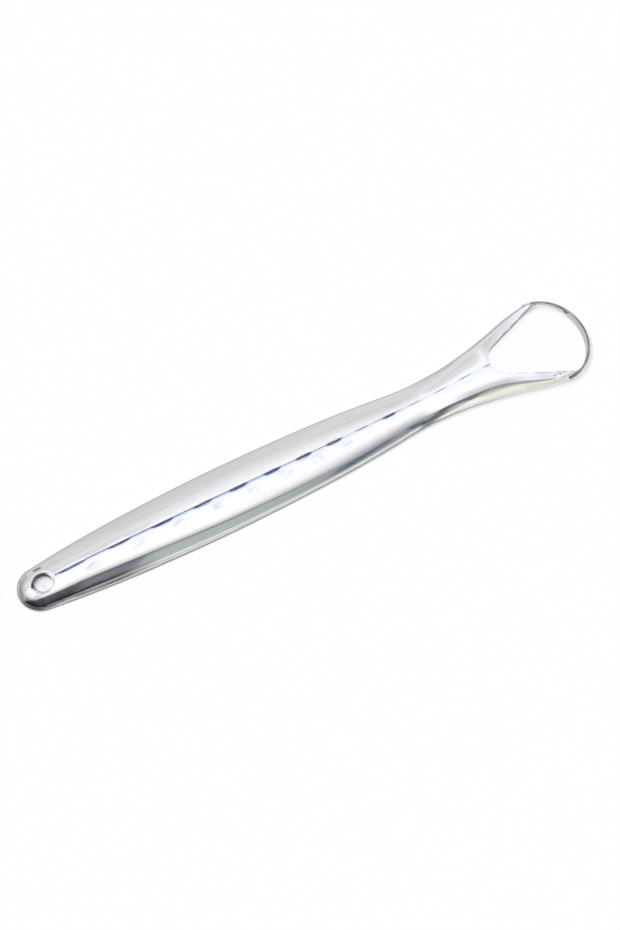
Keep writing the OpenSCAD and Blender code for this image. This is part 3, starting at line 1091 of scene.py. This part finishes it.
def floorMaterial():
    material, shader, w = addMaterial("paleFloor")
    w.fill(shader, {"Base Color": (*studio["floorColor"], 1), "Specular IOR Level": 0.0})
    w.fill(shader, {"Roughness": studio["floorRoughness"]})
    rays = w.add("ShaderNodeLightPath").outputs
    seen = w.math("MAXIMUM", rays["Is Camera Ray"], rays["Is Glossy Ray"])
    seen = w.math("MAXIMUM", seen, rays["Is Transmission Ray"])
    color = floorShadow(w, rays["Is Camera Ray"])
    white = w.add("ShaderNodeEmission", {"Color": color, "Strength": 1.0})
    share = w.product(seen, studio["whiteShare"])
    both = w.add("ShaderNodeMixShader", {0: share, 1: shader.outputs[0], 2: white.outputs[0]})
    # From below the floor isn't there, so that the tool's underside can be looked at
    below = w.add("ShaderNodeNewGeometry").outputs["Backfacing"]
    clear = w.add("ShaderNodeBsdfTransparent")
    both = w.add("ShaderNodeMixShader", {0: below, 1: both.outputs[0], 2: clear.outputs[0]})
    output = next(n for n in material.node_tree.nodes if n.type == "OUTPUT_MATERIAL")
    w.fill(output, {"Surface": both.outputs[0]})
    return material


def addFloor():
    data = bpy.data.meshes.new("floor")
    half, z = studio["floorReach"], -studio["floorDrop"] * mm
    corners = [(-half, -half, z), (half, -half, z), (half, half, z), (-half, half, z)]
    data.from_pydata(corners, [], [(0, 1, 2, 3)])
    data.materials.append(floorMaterial())
    addObject("floor", data)


addFloor()

# The studio as it is seen round the tool's length. "down" is degrees from straight up: less than
# 0 is the far side, more the near side. "along" is degrees along the tool, towards the hoop. One
# row of colours holds towards the round end's side, one in the middle and one towards the hoop's.
# Zones are as in polish.
light = {
    "endSide": (
        (-90, (0.74, 0.74, 0.77)),
        (-66, (0.80, 0.80, 0.82)),
        (-50, (1.05, 1.05, 1.07)),
        (-40, (1.40, 1.40, 1.42)),
        (-32, (1.66, 1.66, 1.68)),
        (-6, (1.74, 1.74, 1.76)),
        (3, (1.58, 1.56, 1.50)),
        (10, (1.30, 1.28, 1.24)),
        (15, (0.98, 0.97, 0.95)),
        (18.5, (0.48, 0.47, 0.49)),
        (25, (0.34, 0.33, 0.36)),
        (42, (0.22, 0.22, 0.25)),
        (70, (0.12, 0.12, 0.14)),
        (90, (0.10, 0.10, 0.12)),
    ),
    "middle": (
        (-90, (1.04, 1.04, 1.04)),
        (-52, (1.07, 1.07, 1.075)),
        (-42, (1.19, 1.19, 1.20)),
        (-33, (1.54, 1.54, 1.55)),
        (-29, (1.69, 1.69, 1.70)),
        (-25.6, (1.72, 1.72, 1.74)),
        (-25.1, (0.03, 0.05, 0.13)),
        (-22.3, (0.04, 0.07, 0.20)),
        (-21.8, (0.50, 0.72, 1.30)),
        (-20.7, (1.58, 1.62, 1.72)),
        (-12, (1.74, 1.74, 1.76)),
        (3, (1.74, 1.74, 1.72)),
        (8, (1.52, 1.51, 1.47)),
        (13, (1.18, 1.17, 1.13)),
        (17.6, (0.86, 0.85, 0.82)),
        (18.4, (0.28, 0.30, 0.31)),
        (20.5, (0.38, 0.42, 0.42)),
        (23, (0.70, 0.79, 0.76)),
        (68, (0.72, 0.81, 0.78)),
        (76, (0.84, 0.90, 0.84)),
        (81, (1.45, 1.45, 1.30)),
        (90, (1.50, 1.50, 1.36)),
    ),
    "hoopSide": (
        (-90, (1.18, 1.18, 1.19)),
        (-50, (1.13, 1.13, 1.14)),
        (-40, (1.03, 1.03, 1.05)),
        (-35, (1.08, 1.08, 1.10)),
        (-30, (1.36, 1.36, 1.39)),
        (-26, (1.40, 1.42, 1.48)),
        (-24.9, (0.08, 0.10, 0.17)),
        (-22.5, (0.09, 0.12, 0.22)),
        (-21.9, (1.00, 1.16, 1.50)),
        (-20.7, (1.58, 1.62, 1.72)),
        (-10, (1.70, 1.70, 1.74)),
        (0, (1.30, 1.30, 1.33)),
        (10, (0.80, 0.80, 0.84)),
        (20, (0.60, 0.62, 0.65)),
        (45, (0.46, 0.50, 0.52)),
        (64, (0.50, 0.55, 0.56)),
        (78, (0.95, 0.98, 0.92)),
        (84, (1.45, 1.45, 1.30)),
        (90, (1.50, 1.50, 1.36)),
    ),
    "middleFrom": (-9.0, -7.0),
    "hoopSideFrom": (11.5, 17.5),
    # A dark wall beyond the round end, seen low on the near side. Its slanted edge starts at a
    # place along the tool and moves back by slant for each degree down.
    "wall": {
        "rows": (
            (18, (0.14, 0.17, 0.28)),
            (25, (0.31, 0.30, 0.36)),
            (55, (0.38, 0.36, 0.38)),
            (74, (0.12, 0.12, 0.15)),
        ),
        "slant": 0.116,
        "slantFrom": 20.0,
        "zone": (("slanted", (9.2, 7.2)), ("down", (17.5, 19.5, 76, 80))),
        "dim": (("along", (2.0, -5.0), (1.0, 0.62)),),
    },
    "farSlope": {"zone": (("down", (-26.5, -31.0, -33.0, -42.0)), ("along", (15.5, 6.0))), "share": 0.76},
    "beyondHoop": {"zone": (("along", (17, 26)), ("down", (-22, -29))), "share": 1.15},
    "beyondEnd": (("along", (-14, -60), (1.0, 0.55)),),
    "screen": {
        "color": (0.17, 0.21, 0.30),
        "zone": (("along", (15.0, 16.4, 18.0, 19.4)), ("down", (20, 27, 46, 56))),
    },
}


def addWorld():
    world = bpy.data.worlds.new("studioLight")
    bpy.context.scene.world = world
    world.use_nodes = True
    world.node_tree.nodes.clear()
    w, wall, screen = Wires(world.node_tree), light["wall"], light["screen"]
    direction = w.add("ShaderNodeTexCoord").outputs["Generated"]
    x, y, z = w.add("ShaderNodeSeparateXYZ", {0: direction}).outputs
    down = w.math("DEGREES", w.math("ARCTAN2", w.product(y, -1.0), z))
    along = w.math("DEGREES", w.math("ARCSINE", x))
    lower = w.math("SUBTRACT", down, wall["slantFrom"])
    slanted = w.math("MULTIPLY_ADD", lower, wall["slant"], along)
    at = {"down": down, "along": along, "slanted": slanted}
    share = w.between(down, -90.0, 90.0, soft=False)

    def colors(stops):
        node = w.add("ShaderNodeValToRGB", {0: share})
        elements = node.color_ramp.elements
        elements.remove(elements[1])
        for k, (degrees, color) in enumerate(stops):
            position = (degrees + 90) / 180
            stop = elements[0] if k == 0 else elements.new(position)
            stop.position = position
            stop.color = (*color, 1)
        return node.outputs[0]

    color = colors(light["endSide"])
    for rows, start in (("middle", "middleFrom"), ("hoopSide", "hoopSideFrom")):
        color = w.blend(w.between(along, *light[start]), color, colors(light[rows]))
    wallColor = w.scaled(colors(wall["rows"]), w.zone(at, wall["dim"]))
    color = w.blend(w.zone(at, wall["zone"]), color, wallColor)
    for name in ("farSlope", "beyondHoop"):
        mask, dim = w.zone(at, light[name]["zone"]), light[name]["share"]
        color = w.scaled(color, w.ramp(mask, (0.0, 1.0), (1.0, dim)))
    color = w.scaled(color, w.zone(at, light["beyondEnd"]))
    color = w.blend(w.zone(at, screen["zone"]), color, (*screen["color"], 1))
    background = w.add("ShaderNodeBackground", {0: color})
    w.add("ShaderNodeOutputWorld", {0: background.outputs[0]})


addWorld()
print("studio set")

scene = bpy.context.scene
scene.view_settings.view_transform = "Standard"
